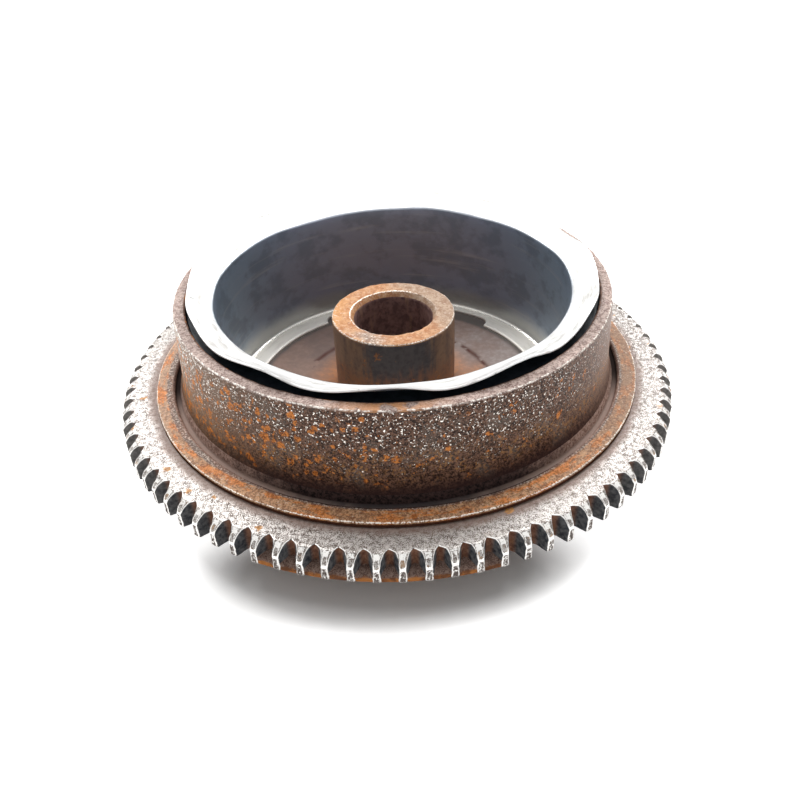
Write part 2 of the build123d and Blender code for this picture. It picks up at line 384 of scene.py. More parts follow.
def rim_finish():
    """The rim: mauve with dust, an orange patch in front, its outer edge rubbed bright."""
    orange, resin, steel = (0.72, 0.33, 0.13), (0.09, 0.065, 0.06), (0.97, 0.92, 0.85)
    f = Finish("cup_rim_rust")
    grain = f.noise(0.5, 3, 0.65, seed=21)
    mottle = f.noise(1.6, 4, 0.62, seed=22)
    tone = grain * 0.55 + mottle * 0.45
    f.base(f.ramp(tone, 0.41, 0.58), (0.24, 0.15, 0.125), (0.62, 0.48, 0.42))
    front = f.band(f.turn, -0.03, 0.3) * f.ramp(f.noise(4, 3, 0.6, seed=23), 0.4, 0.55)
    f.coat(front * 0.85, orange)
    inward = f.ramp(f.r + mottle * (1.2 * MM), CUP_BORE_R + 1.7 * MM, CUP_BORE_R + 0.8 * MM)
    crumbs = f.ramp(f.noise(0.9, 3, 0.6, seed=24), 0.42, 0.55) * inward
    f.coat(crumbs * 0.85, resin)
    edge = f.mark("worn") * f.ramp(f.r, CUP_R - 1.6 * MM, CUP_R - 0.8 * MM)
    sparkle = f.noise(1.0, 3, 0.6, seed=25)
    rubbed = f.ramp(edge + grain * 0.9 + sparkle * 1.4, 1.88, 2.15)
    f.coat(rubbed, steel)
    return f.done(0.5, rubbed * 0.5, f.bump(mottle * 0.7 + grain * 0.6, 0.3, 0.8), 0.35)


def floor_finish():
    """The cup's floor: mauve and brown, orange near the hub, with a ring mark round it."""
    orange, shade, mark_brown = (0.56, 0.21, 0.06), (0.1, 0.098, 0.092), (0.1, 0.035, 0.025)
    freckle = (0.18, 0.12, 0.1)
    f = Finish("cup_floor_rust")
    clouds = f.noise(16, 4, 0.6, seed=26)
    mottle = f.noise(2.2, 4, 0.6, seed=27)
    left = f.ramp(f.x, 10 * MM, -25 * MM)
    f.base(left, (0.42, 0.35, 0.32), (0.33, 0.22, 0.175))
    cloudy = f.mix(left, (0.3, 0.2, 0.16), (0.2, 0.15, 0.135))
    f.coat(f.ramp(clouds, 0.4, 0.65) * 0.7, cloudy)
    near = f.ramp(f.r + clouds * (12 * MM), HUB_R + 18 * MM, HUB_R + 8 * MM)
    ring_r = HUB_R + 12.4 * MM
    inside = f.ramp(f.r + clouds * (4 * MM), ring_r + 3.5 * MM, ring_r + 0.5 * MM)
    near = f.most(near, inside * f.ramp(f.x, 8 * MM, 20 * MM) * f.ramp(f.y, 14 * MM, 4 * MM))
    f.coat(near * f.blend(mottle, 0.4, 0.9), orange)
    shaded = f.ramp(f.r + mottle * (1.5 * MM), LIP_R - 1.6 * MM, LIP_R + 0.4 * MM)
    f.coat(shaded * 0.85, shade)
    mark = f.band(f.r + clouds * (2 * MM), ring_r + 1 * MM, 1.7 * MM)
    f.coat(mark * f.ramp(clouds, 0.46, 0.53), mark_brown)
    f.coat(f.ramp(mottle, 0.6, 0.45) * 0.25, freckle)
    return f.done(0.55, 0.0, f.bump(mottle, 0.12, 0.5), 0.3)


def under_finish(name):
    """Faces turned down or away: plain brown rust."""
    mauve = (0.6, 0.47, 0.41)
    f = Finish(name)
    mottle = f.noise(1.8, 4, 0.62, seed=29)
    bloom = f.ramp(f.noise(6, 4, 0.6, seed=30), 0.55, 0.65)
    f.base(f.ramp(mottle, 0.36, 0.64), (0.095, 0.05, 0.037), (0.27, 0.16, 0.115))
    f.coat(bloom * 0.7, ORANGE_DEEP)
    f.coat(f.ramp(f.mark("worn"), 0.5, 0.9) * f.ramp(mottle, 0.4, 0.55), mauve)
    return f.done(0.65, 0.0, f.bump(mottle, 0.2, 0.7), 0.2)


def hub_face_finish():
    """The hub's top: orange rust, greyer to the right and back, flecked and grey in front."""
    amber, steel, pit_brown = (0.74, 0.36, 0.12), (0.95, 0.88, 0.78), (0.24, 0.11, 0.055)
    f = Finish("hub_face_rust")
    grain = f.noise(0.5, 3, 0.65, seed=31)
    mottle = f.noise(2.2, 4, 0.62, seed=32)
    clouds = f.noise(7, 3, 0.6, seed=35)
    tone = f.ramp(mottle * 0.6 + grain * 0.4, 0.4, 0.6)
    f.base(tone, (0.44, 0.17, 0.06), (0.64, 0.36, 0.19))
    back_right = f.ramp(f.x + f.y * 0.4 + clouds * (14 * MM), 8 * MM, 22 * MM)
    f.coat(back_right * 0.85, f.mix(tone, (0.3, 0.19, 0.125), (0.48, 0.37, 0.28)))
    left = f.ramp(f.x + clouds * (8 * MM), -8 * MM, -14 * MM)
    f.coat(left * f.ramp(f.y, -10 * MM, -4 * MM) * 0.6, amber)
    front = f.band(f.x, -8 * MM, 9 * MM) * f.ramp(f.y, -9 * MM, -13 * MM)
    grey = f.mix(tone, (0.24, 0.185, 0.155), (0.48, 0.4, 0.34))
    f.coat(front * f.ramp(clouds, 0.3, 0.55) * 0.8, grey)
    worn_part = f.most(front, left * 0.6, 0.25)
    pale = f.ramp(f.noise(0.9, 3, 0.6, seed=33), 0.57, 0.64) * worn_part
    inner = f.ramp(f.r, BORE_R + 3.5 * MM, BORE_R + 2.5 * MM)
    faded = inner * f.ramp(f.x - f.y * 0.5, -4 * MM, 9 * MM) * 0.3
    worn = f.mark("worn") * (1 - faded)
    rubbed = f.ramp(worn + grain * 1.4, 1.42, 1.62)
    bare = f.most(pale * 0.85, rubbed)
    f.coat(bare, steel)
    pits = f.ramp(f.noise(1.1, 3, 0.6, seed=34), 0.6, 0.68) * 0.55
    f.coat(pits * (1 - bare), pit_brown)
    return f.done(0.5, bare * 0.4, f.bump(mottle * 0.5 + grain * 0.5, 0.2, 0.6), 0.35)


def hub_side_finish():
    """The hub's barrel: streaky brown, charcoal high in front and orange low down."""
    low_orange, spot_orange = (0.3, 0.12, 0.055), (0.44, 0.16, 0.05)
    pit_brown, edge_tan = (0.06, 0.04, 0.034), (0.8, 0.66, 0.52)
    f = Finish("hub_side_rust")
    clouds = f.noise(6, 4, 0.6, stretch=(1, 0.5, 1), seed=36, wrap=True)
    streaks = f.noise(2.6, 4, 0.62, stretch=(1, 1, 0.22), seed=39)
    mottle = f.noise(1.6, 4, 0.62, seed=37)
    upper = f.ramp(f.z, HUB_TOP_Z - 19 * MM, HUB_TOP_Z - 10 * MM)
    patch = f.band(f.turn, 0.08, 1.05) * f.blend(upper, 0.4, 1.0) + clouds
    f.base(f.ramp(streaks, 0.3, 0.7), (0.2, 0.115, 0.075), (0.3, 0.17, 0.1))
    charcoal = f.mix(mottle, (0.06, 0.052, 0.052), (0.15, 0.12, 0.105))
    f.coat(f.ramp(patch, 0.75, 1.2), charcoal)
    lower = f.ramp(f.z + clouds * (14 * MM), FLOOR_Z + 26 * MM, FLOOR_Z + 18 * MM)
    f.coat(lower * f.blend(f.ramp(mottle, 0.4, 0.6), 0.45, 0.8), low_orange)
    spots = f.ramp(f.noise(3.5, 4, 0.65, seed=38), 0.61, 0.67)
    f.coat(spots * 0.75, spot_orange)
    f.coat(f.ramp(mottle, 0.5, 0.38) * 0.25, pit_brown)
    rubbed = f.ramp(f.mark("worn") + mottle * 0.9, 1.3, 1.5)
    f.coat(rubbed, edge_tan)
    return f.done(0.6, 0.0, f.bump(mottle, 0.12, 0.5), 0.15)


def hub_bore_finish():
    """The bore: deep red-brown."""
    streak_tan, edge_tan = (0.4, 0.25, 0.16), (0.8, 0.6, 0.45)
    f = Finish("hub_bore_rust")
    mottle = f.noise(1.8, 4, 0.62, seed=40)
    streaks = f.noise(3, 3, 0.6, stretch=(1, 1, 0.2), seed=42)
    f.base(f.ramp(mottle, 0.36, 0.64), (0.12, 0.066, 0.062), (0.24, 0.145, 0.13))
    f.coat(f.ramp(streaks, 0.52, 0.66) * 0.4, streak_tan)
    rubbed = f.ramp(f.mark("worn") + mottle * 1.2, 1.2, 1.4)
    f.coat(rubbed, edge_tan)
    return f.done(0.5, 0.0, f.bump(mottle, 0.12, 0.5), 0.2)


def gear_top(f, mottle, tone, speckle, lip_rust_and_shade, bloom, bevel):
    """Colour of the ring gear's top: silvered, brown by the lip with painted shade, darker on the
    bevel.
    """
    amber, bevel_brown, bevel_tan = (0.75, 0.42, 0.14), (0.2, 0.155, 0.13), (0.46, 0.28, 0.15)
    color = f.mix(speckle, (0.14, 0.11, 0.093), (0.58, 0.555, 0.53))
    color = f.mix(lip_rust_and_shade * 0.8, color, f.mix(mottle, (0.24, 0.155, 0.125), (0.48, 0.345, 0.29)))
    orange = f.mix(mottle, ORANGE_DEEP, amber)
    color = f.mix(bloom * f.ramp(tone, 0.36, 0.5), color, orange)
    color = f.mix(bevel * f.ramp(tone, 0.56, 0.42) * 0.6, color, bevel_brown)
    stains = bevel * f.ramp(f.noise(3, 3, 0.6, seed=49), 0.56, 0.64) * 0.7
    return f.mix(stains, color, bevel_tan)


def gear_sides(f, mottle, tone, patches, tip):
    """Colour of the teeth's sides: dark flanks, rusty roots, and scale where gaps are packed."""
    gap_orange, crust_brown, tip_brown = (0.36, 0.16, 0.07), (0.2, 0.09, 0.05), (0.2, 0.165, 0.15)
    strong_mottle = f.ramp(mottle, 0.3, 0.7)
    lit = f.ramp(f.y, -0.95 * TIP_R, 0.1 * TIP_R)
    color = f.mix(strong_mottle, (0.05, 0.056, 0.066), (0.2, 0.2, 0.205))
    gap = f.mix(strong_mottle, (0.2, 0.096, 0.063), (0.41, 0.22, 0.145))
    gap = f.mix(f.ramp(patches, 0.55, 0.68) * 0.35, gap, gap_orange)
    color = f.mix(f.ramp(f.mark("root"), 0.5, 0.85), color, gap)
    color = f.mix(lit * 0.8, color, f.mix(mottle, (0.2, 0.19, 0.18), (0.5, 0.46, 0.42)))
    scale = f.mix(f.ramp(tone, 0.4, 0.6), (0.15, 0.094, 0.074), (0.37, 0.26, 0.215))
    crust = f.mix(mottle, (0.34, 0.13, 0.045), (0.8, 0.32, 0.1))
    crust = f.mix(f.ramp(patches, 0.42, 0.56), crust_brown, crust)
    crust_z = RING_Z + 1.5 * MM
    scale = f.mix(f.ramp(f.z + mottle * (0.8 * MM), crust_z + 0.5 * MM, crust_z), scale, crust)
    color = f.mix(f.ramp(f.mark("packed"), 0.1, 0.4), color, scale)
    return f.mix(tip, color, tip_brown)


def gear_finish():
    """The ring gear: a silvered top and dark sides, with every tooth's edges and tip rubbed."""
    steel = (0.9, 0.88, 0.85)
    f = Finish("gear_worn_steel")
    grain = f.noise(0.3, 2, 0.6, seed=44)
    mottle = f.noise(1.3, 4, 0.62, seed=45)
    patches = f.noise(6, 4, 0.6, seed=46)
    side, bevel, tip = f.mark("side"), f.mark("bevel"), f.mark("tip")
    right = f.ramp(f.aside, 0.3, 1.2)
    # Brown band along the lip: rust and painted shade beside the lip's face.
    lip_span = f.r + patches * (4 * MM) + right * (0.7 * MM)
    lip_rust_and_shade = f.ramp(lip_span, BASE_R + 5.8 * MM, BASE_R + 2.6 * MM)
    tone = grain * 0.6 + mottle * 0.4
    speckle = f.ramp(tone - right * 0.02, 0.42, 0.56)
    bloom = f.flecks(7, 0.25, 0.15, seed=47, warp=0.4)
    on_top = gear_top(f, mottle, tone, speckle, lip_rust_and_shade, bloom, bevel)
    f.base(side, on_top, gear_sides(f, mottle, tone, patches, tip))
    tip_bare = tip * f.ramp(f.noise(0.55, 3, 0.65, seed=48), 0.51, 0.6)
    rubbed = f.ramp(f.mark("worn") + tone * 1.2, 1.22, 1.42)
    bare = f.most(tip_bare * side, rubbed)
    f.coat(bare, steel)
    clear = (1 - side) * (1 - lip_rust_and_shade) * (1 - bloom) * f.blend(speckle, 0.25, 0.9)
    metallic = f.most(bare * 0.85, clear * (1 - bevel * 0.5))
    normal = f.bump(mottle * 0.6 + grain * 0.6, 0.25, 0.6)
    return f.done(0.38, metallic, normal, (1 - side) * 0.3)


def liner_finish():
    """Stainless: nearly white where it is bent, painted dull and clouded inside as a painted
    reflection, with rings and streaks.
    """
    smoky_reflection, ring_grey, low_grey = (0.17, 0.21, 0.265), (0.55, 0.56, 0.58), (0.45, 0.46, 0.45)
    pit_black = (0.16, 0.145, 0.135)
    f = Finish("liner_stainless")
    rings = f.noise(2.2, 4, 0.6, stretch=(0.05, 0.05, 1), seed=51)
    smoke = f.noise(7, 5, 0.65, stretch=(0.6, 0.6, 0.8), seed=53)
    # The inner wall is painted far darker than the flange of the same steel, a painted reflection
    # of dark surroundings; a little darker towards the back and lighter towards the bottom.
    wall = f.mix(f.ramp(f.y, 10 * MM, 45 * MM), (0.33, 0.41, 0.5), (0.3, 0.345, 0.45))
    wall = f.mix(f.ramp(smoke, 0.45, 0.6) * 0.5, wall, smoky_reflection)
    wall = f.mix(f.ramp(rings, 0.55, 0.7) * 0.35, wall, ring_grey)
    low_part = f.ramp(f.z + smoke * (6 * MM), FLOOR_Z + 13 * MM, FLOOR_Z + 6 * MM)
    wall = f.mix(low_part, wall, low_grey)
    bright = f.mark("bright")
    on_floor = f.ramp(f.z, FLOOR_Z + 12 * MM, FLOOR_Z + 6 * MM)
    pits = f.flecks(5, 0.22, 0.09, stretch=(0.6, 1.2, 1), seed=54, warp=0.4)
    streak = f.noise(2.0, 4, 0.65, stretch=(0.15, 1, 1), seed=55, wrap=True)
    stain = f.ramp(streak, 0.48, 0.68)
    shine = f.mix(stain, (0.86, 0.855, 0.84), (0.56, 0.545, 0.52))
    shine = f.mix(pits * 0.8, shine, pit_black)
    shine = f.mix(on_floor, shine, f.mix(stain * 0.5, (1.0, 0.95, 0.86), (0.75, 0.7, 0.62)))
    f.base(bright, wall, shine)
    bend = on_floor * f.band(f.r, LINER_BORE_R - 0.7 * MM, 1.0 * MM)
    metallic = f.most(f.blend(bright, 0.85, f.blend(on_floor, 0.7, 0.1)), bend * 0.8)
    normal = f.bump(rings * 0.6 + smoke * 0.4, 0.08, 0.4)
    return f.done(f.blend(bend, 0.41, 0.25), metallic, normal)


def plain_grain(name, dark, light, roughness):
    """A dull moulded or sintered surface."""
    f = Finish(name)
    grain = f.noise(1.5, 4, 0.6, seed=58)
    f.base(f.ramp(grain, 0.3, 0.7), dark, light)
    return f.done(roughness, 0.0, f.bump(grain, 0.1, 0.5), 0.2)


def placed(name, data):
    """A new object in the scene."""
    made = bpy.data.objects.new(name, data)
    bpy.context.scene.collection.objects.link(made)
    return made


# Sections turned about the axis

Corner = namedtuple("Corner", "r z round step finish worn")
ROUND_STEPS = 5
WORN_REACH = 0.6 * MM
EDGE_WEAR = 0.18 * MM


def unit(vector):
    return vector / np.linalg.norm(vector)


def section(rows):
    """Stations round a closed outline: radius, height, finish and wear. The rows are its corners,
    with rounding and step in mm."""
    corners = [Corner(r, z, bend * MM, step * MM, *rest) for r, z, bend, step, *rest in rows]
    points = np.array([(c.r, c.z) for c in corners])
    stations = []
    for i, corner in enumerate(corners):
        onward = (i + 1) % len(corners)
        here = points[i]
        before = unit(points[i - 1] - here)
        after = unit(points[onward] - here)
        start, end = here + before * corner.round, here + after * corner.round
        if corner.round:
            for t in np.linspace(0, 1, ROUND_STEPS + 1):
                curve = (1 - t) ** 2 * start + 2 * t * (1 - t) * here + t ** 2 * end
                stations.append((*curve, corner.finish))
        else:
            stations.append((*here, corner.finish))
        far = points[onward] - after * corners[onward].round
        count = max(1, round(np.linalg.norm(far - end) / corner.step))
        for k in range(1, count):
            stations.append((*(end + (far - end) * k / count), corner.finish))
    rows = np.array(stations)
    worn = np.zeros(len(rows))
    for corner in corners:
        distance = np.hypot(rows[:, 0] - corner.r, rows[:, 1] - corner.z)
        worn = np.maximum(worn, corner.worn * np.exp(-(distance / WORN_REACH) ** 2))
    return np.column_stack([rows, worn])


def section_normals(rows):
    """Outward directions in the plane of a closed outline that runs either way round."""
    onward = np.roll(rows[:, :2], -1, axis=0)
    along = onward - np.roll(rows[:, :2], 1, axis=0)
    out = np.column_stack([along[:, 1], -along[:, 0]])
    out /= np.linalg.norm(out, axis=1)[:, None] + 1e-12
    area = np.sum(rows[:, 0] * onward[:, 1] - onward[:, 0] * rows[:, 1])
    return out if area > 0 else -out


def swept(radius, height, angle):
    """Points from arrays of radius, height and angle."""
    return np.stack([radius * np.cos(angle), radius * np.sin(angle), height], axis=-1)


def lumps(points, size, seed):
    """Smooth noise at each point, about -1 to 1. The size is in mm."""
    shift = Vector((seed, 2 * seed, 3 * seed))
    flat = points.reshape(-1, 3) / (size * MM)
    values = [noise.noise(Vector(p) + shift) for p in flat]
    return np.array(values).reshape(points.shape[:-1])


def ring_piece(name, points, finish_of_station, materials, marks):
    """A closed ring from a grid of stations by steps, riding on the body."""
    stations, steps = points.shape[:2]
    index = np.arange(stations * steps).reshape(stations, steps)
    onward = np.roll(index, -1, axis=1)
    corners = [index, onward, np.roll(onward, -1, axis=0), np.roll(index, -1, axis=0)]
    faces = np.stack(corners, axis=-1).reshape(-1, 4)
    mesh = bpy.data.meshes.new(name)
    mesh.from_pydata(points.reshape(-1, 3).tolist(), [], faces.tolist())
    for material in materials:
        mesh.materials.append(material)
    finish_of_face = np.repeat(finish_of_station.astype(np.int32), steps)
    mesh.polygons.foreach_set("material_index", finish_of_face)
    mesh.polygons.foreach_set("use_smooth", np.ones(stations * steps, dtype=bool))
    for mark, values in marks.items():
        attribute = mesh.attributes.new(mark, "FLOAT", "POINT")
        attribute.data.foreach_set("value", values.astype(np.float32).ravel())
    shell = bmesh.new()
    shell.from_mesh(mesh)
    bmesh.ops.recalc_face_normals(shell, faces=shell.faces)
    shell.to_mesh(mesh)
    shell.free()
    piece = placed(name, mesh)
    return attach(piece, BODY)


def turned_piece(name, corners, steps, materials, roughen):
    """A turned piece with its surface roughened along its normals by roughen(points, worn)."""
    rows = section(corners)
    out = section_normals(rows)
    angle = np.linspace(0, 2 * math.pi, steps, endpoint=False)[None, :]
    spread = np.ones((1, steps))
    points = swept(rows[:, :1] * spread, rows[:, 1:2] * spread, angle)
    worn = rows[:, 3:4] * spread
    shift = roughen(points, worn)
    points = points + swept(out[:, :1] * shift, out[:, 1:2] * shift, angle)
    points[..., 2] = np.maximum(points[..., 2], cad_box[0].z)
    return ring_piece(name, points, rows[:, 2], materials, {"worn": worn})


# The cup

GROOVE_DEPTH = 1.3 * MM
GROOVE_FLOOR_HALF = 0.6 * MM
WEB_CHAMFER = 3 * MM


def rusted_cup():
    fine, medium, coarse = 0.75, 1.5, 4
    wall, foot, lip, rim, inside, floor, under = range(7)
    groove_middle = (WALL_FOOT_R + GROOVE_R) / 2
    groove_z = BASE_TOP_Z - GROOVE_DEPTH
    corners = [
        (HUB_R, WEB_Z, 0, coarse, under, 0),
        (CUP_R - WEB_CHAMFER, WEB_Z, 0.5, coarse, under, 0.3),
        (CUP_R, WEB_Z + WEB_CHAMFER, 0.5, coarse, under, 0.3),
        (CUP_R, RING_Z, 0.3, coarse, under, 0),
        (REGISTER_R, RING_Z, 0.2, coarse, under, 0),
        (REGISTER_R, LAND_Z, 0, coarse, under, 0),
        (BASE_R, LAND_Z, 0.1, fine, lip, 0),
        (BASE_R, BASE_TOP_Z, 0.5, fine, lip, 1.0),
        (GROOVE_R, BASE_TOP_Z, 0.5, fine, foot, 0.25),
        (groove_middle + GROOVE_FLOOR_HALF, groove_z, 0.45, fine, foot, 0),
        (groove_middle - GROOVE_FLOOR_HALF, groove_z, 0.45, fine, foot, 0),
        (WALL_FOOT_R, BASE_TOP_Z, 0.7, fine, foot, 0),
        (WALL_R, WALL_FOOT_Z, 3.2, fine, wall, 0),
        (CUP_R, RIM_Z, 0.55, fine, rim, 1.0),
        (CUP_BORE_R, RIM_Z, 0.5, fine, inside, 0.3),
        (CUP_BORE_R, FLOOR_Z, 0, medium, floor, 0),
        (HUB_R, FLOOR_Z, 0, coarse, under, 0),
    ]

    def roughen(points, worn):
        skin = lumps(points, 1.7, 1) * 0.06 * MM + lumps(points, 5, 2) * 0.08 * MM
        return skin - worn * (lumps(points, 2.4, 3) + 0.4) * EDGE_WEAR

    materials = [wall_finish(), foot_finish(), lip_finish(), rim_finish(),
                 under_finish("cup_inside_rust"), floor_finish(), under_finish("cup_under_rust")]
    cup = turned_piece("rusted_cup", corners, 720, materials, roughen)
    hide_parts("rotor_cup")


# The hub

STRAIGHT_BORE = 8.8 * MM
TAPER = 0.1
RECESS_Z = 8 * MM
RECESS_STEP = 3.2 * MM
KEYWAY_DEPTH = 2 * MM
KEYWAY_HALF = 2 * MM
MOUTH_WIDTH = 1.2 * MM
MOUTH_DEPTH = 2.0 * MM


def rusted_hub():
    finest, fine, medium, coarse = 0.4, 0.7, 1.5, 3
    face, side, bore, foot = range(4)
    taper_top_z = HUB_TOP_Z - STRAIGHT_BORE
    taper_end_r = BORE_R - (taper_top_z - RECESS_Z) * TAPER
    recess_r = BORE_R + RECESS_STEP
    keyway_r = taper_end_r + KEYWAY_DEPTH
    corners = [
        (recess_r, 0, 0.2, coarse, foot, 0.4),
        (FOOT_R, 0, 0.6, coarse, foot, 0.8),
        (FOOT_R, WEB_Z, 0, coarse, foot, 0),
        (HUB_R, WEB_Z, 0, coarse, side, 0),
        (HUB_R, FLOOR_Z, 0, fine, side, 0),
        (HUB_R, HUB_TOP_Z, 0.6, fine, face, 1.0),
        (BORE_R + MOUTH_WIDTH, HUB_TOP_Z, 0.3, finest, face, 0.95),
        (BORE_R, HUB_TOP_Z - MOUTH_DEPTH, 0.4, fine, bore, 0.3),
        (BORE_R, taper_top_z, 0, medium, bore, 0),
        (taper_end_r, RECESS_Z, 0, coarse, bore, 0),
        (recess_r, RECESS_Z, 0, coarse, foot, 0),
    ]

    def roughen(points, worn):
        skin = lumps(points, 1.5, 5) * 0.05 * MM + lumps(points, 4, 6) * 0.06 * MM
        skin = skin - worn * (lumps(points, 2.0, 7) + 0.5) * EDGE_WEAR
        x, y, z = np.moveaxis(points, -1, 0)
        in_taper = (z > RECESS_Z) & (z < taper_top_z) & (np.hypot(x, y) < BORE_R)
        in_keyway = in_taper & (x > 0) & (np.abs(y) < KEYWAY_HALF)
        return np.where(in_keyway, x - keyway_r, skin)

    materials = [hub_face_finish(), hub_side_finish(), hub_bore_finish(),
                 under_finish("hub_foot_rust")]
    hub = turned_piece("rusted_hub", corners, 360, materials, roughen)
    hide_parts("hub")


# The ring gear

TOOTH_COUNT = 85
FIRST_TOOTH = -math.pi / 2
MODULE = TIP_R * 2 / (TOOTH_COUNT + 2)
PITCH_R = MODULE * TOOTH_COUNT / 2
DEDENDUM = 2.35 * MM
ROOT_FILLET = 1.1 * MM
ROOT_R = PITCH_R - DEDENDUM
FLANK_R = ROOT_R + ROOT_FILLET
PRESSURE_ANGLE = math.radians(20)
INVOLUTE_R = PITCH_R * math.cos(PRESSURE_ANGLE)
PITCH = 2 * math.pi / TOOTH_COUNT

BEVEL_WIDTH = 3.0 * MM
BEVEL_DROP = 2.35 * MM
BEVEL_R = TIP_R - BEVEL_WIDTH
BEVEL_Z = LAND_Z - BEVEL_DROP

# Wear. Each flank of a tooth is bitten at its foot, middle and tip
FIRST_BITE = (0.36 * MM, 0.36 * MM, 0.1 * MM)
SECOND_BITE = (0.05 * MM, 0.2 * MM, 0.1 * MM)
GAP_LEAN = 0.28 * MM
BITE_DEPTH = 2.2 * MM
TIP_CORNER = 0.3 * MM
TIP_LOSS = 0.2 * MM
EDGE_ROUND = 0.2 * MM
EDGE_ROUND_SPREAD = 0.1 * MM
SHOULDER_WIDTH = 1.5 * MM
SHOULDER_DROP = 1.0 * MM
FOOT_BREAK = 0.15 * MM
SKIN_LOSS = 0.05 * MM

# Shares of a tooth's width
TOP_NARROWING = 0.34
FOOT_WIDENING = 0.26

# Rust scale packs these gaps, to a share of their depth at each height in mm
SCALE_START = math.radians(-117)
SCALE_END = math.radians(-74)
SCALE_SHELF = ((0.8, 1.0), (1.4, 0.93), (1.75, 0.7), (2.0, 0.35), (2.3, 0.08))
SCALE_TOP = 2.6 * MM

# Across a tooth's tip: share of its half width, drop below the tip and brightness
TIP_STATIONS = ((0.95, 0.1 * MM, 1.0), (0.75, 0, 0.85), (0.45, 0, 0.2), (0, 0, 0))

Station = namedtuple("Station", "angle r tip root edge bitten")


def involute(angle):
    return math.tan(angle) - angle


def half_tooth(radius):
    """Half the angle that a tooth fills at this radius."""
    at_pitch = math.pi / (2 * TOOTH_COUNT) + involute(PRESSURE_ANGLE)
    return at_pitch - involute(math.acos(INVOLUTE_R / radius))


def half_outline(lean, bite):
    """From the middle of a gap to the middle of a tooth, with the wear of the outline's top."""
    foot_bite, middle_bite, tip_bite = bite
    gap = PITCH / 2 - half_tooth(FLANK_R)
    rows = []
    for t in np.linspace(0, 1, 7):
        r = ROOT_R + (FLANK_R - ROOT_R) * t ** 1.3
        bitten = foot_bite * t + lean * (1 - t)
        rows.append(Station(gap * t, r, 0, 1 - 0.4 * t, 0, bitten))
    corner_r = TIP_R - TIP_CORNER
    for t in np.linspace(0, 1, 8)[1:]:
        r = FLANK_R + (corner_r - FLANK_R) * t
        hollow = math.sin(math.pi * min(1, 1.2 * t))
        bitten = foot_bite * (1 - t) + middle_bite * hollow + tip_bite * t
        edge = 0.55 if t == 1 else 0
        rows.append(Station(PITCH / 2 - half_tooth(r), r, 0, 0.6 * (1 - t), edge, bitten))
    half = half_tooth(TIP_R)
    for share, drop, edge in TIP_STATIONS:
        rows.append(Station(PITCH / 2 - half * share, TIP_R - drop, 1, 0, edge, 0))
    return rows


def gear_outline():
    """The outline round the ring, anticlockwise from the front, with each row's tooth middle."""
    first = half_outline(-GAP_LEAN, FIRST_BITE)
    second = half_outline(GAP_LEAN, SECOND_BITE)[1:-1]
    second = [row._replace(angle=PITCH - row.angle, bitten=-row.bitten) for row in second[::-1]]
    rows = []
    for tooth in range(TOOTH_COUNT):
        middle = FIRST_TOOTH + tooth * PITCH
        start = middle - PITCH / 2
        rows += [(start + row.angle, *row[1:], tooth, middle) for row in first + second]
    return np.array(rows)


def scaled_up(angle, middle):
    """1 for the stations of the gaps that are packed with rust scale, 0 elsewhere."""
    gap = middle + np.where(angle < middle, -PITCH / 2, PITCH / 2)
    gap = (gap + math.pi) % (2 * math.pi) - math.pi
    return 1.0 * ((gap > SCALE_START) & (gap < SCALE_END))


def of_each_tooth(tooth, least, most):
    """A chance value for each tooth, given to all its stations."""
    chance = np.array([random.uniform(least, most) for _ in range(TOOTH_COUNT)])
    return chance[tooth.astype(int)]


def gear_top_z(radius):
    """Height of the ring's top: flat, then bevelled, then rounded off towards the tips."""
    bevel = np.maximum(radius - BEVEL_R, 0) * (BEVEL_DROP / BEVEL_WIDTH)
    rounded = np.clip((radius - TIP_R + SHOULDER_WIDTH) / SHOULDER_WIDTH, 0, 1) ** 2
    return LAND_Z - bevel - rounded * SHOULDER_DROP


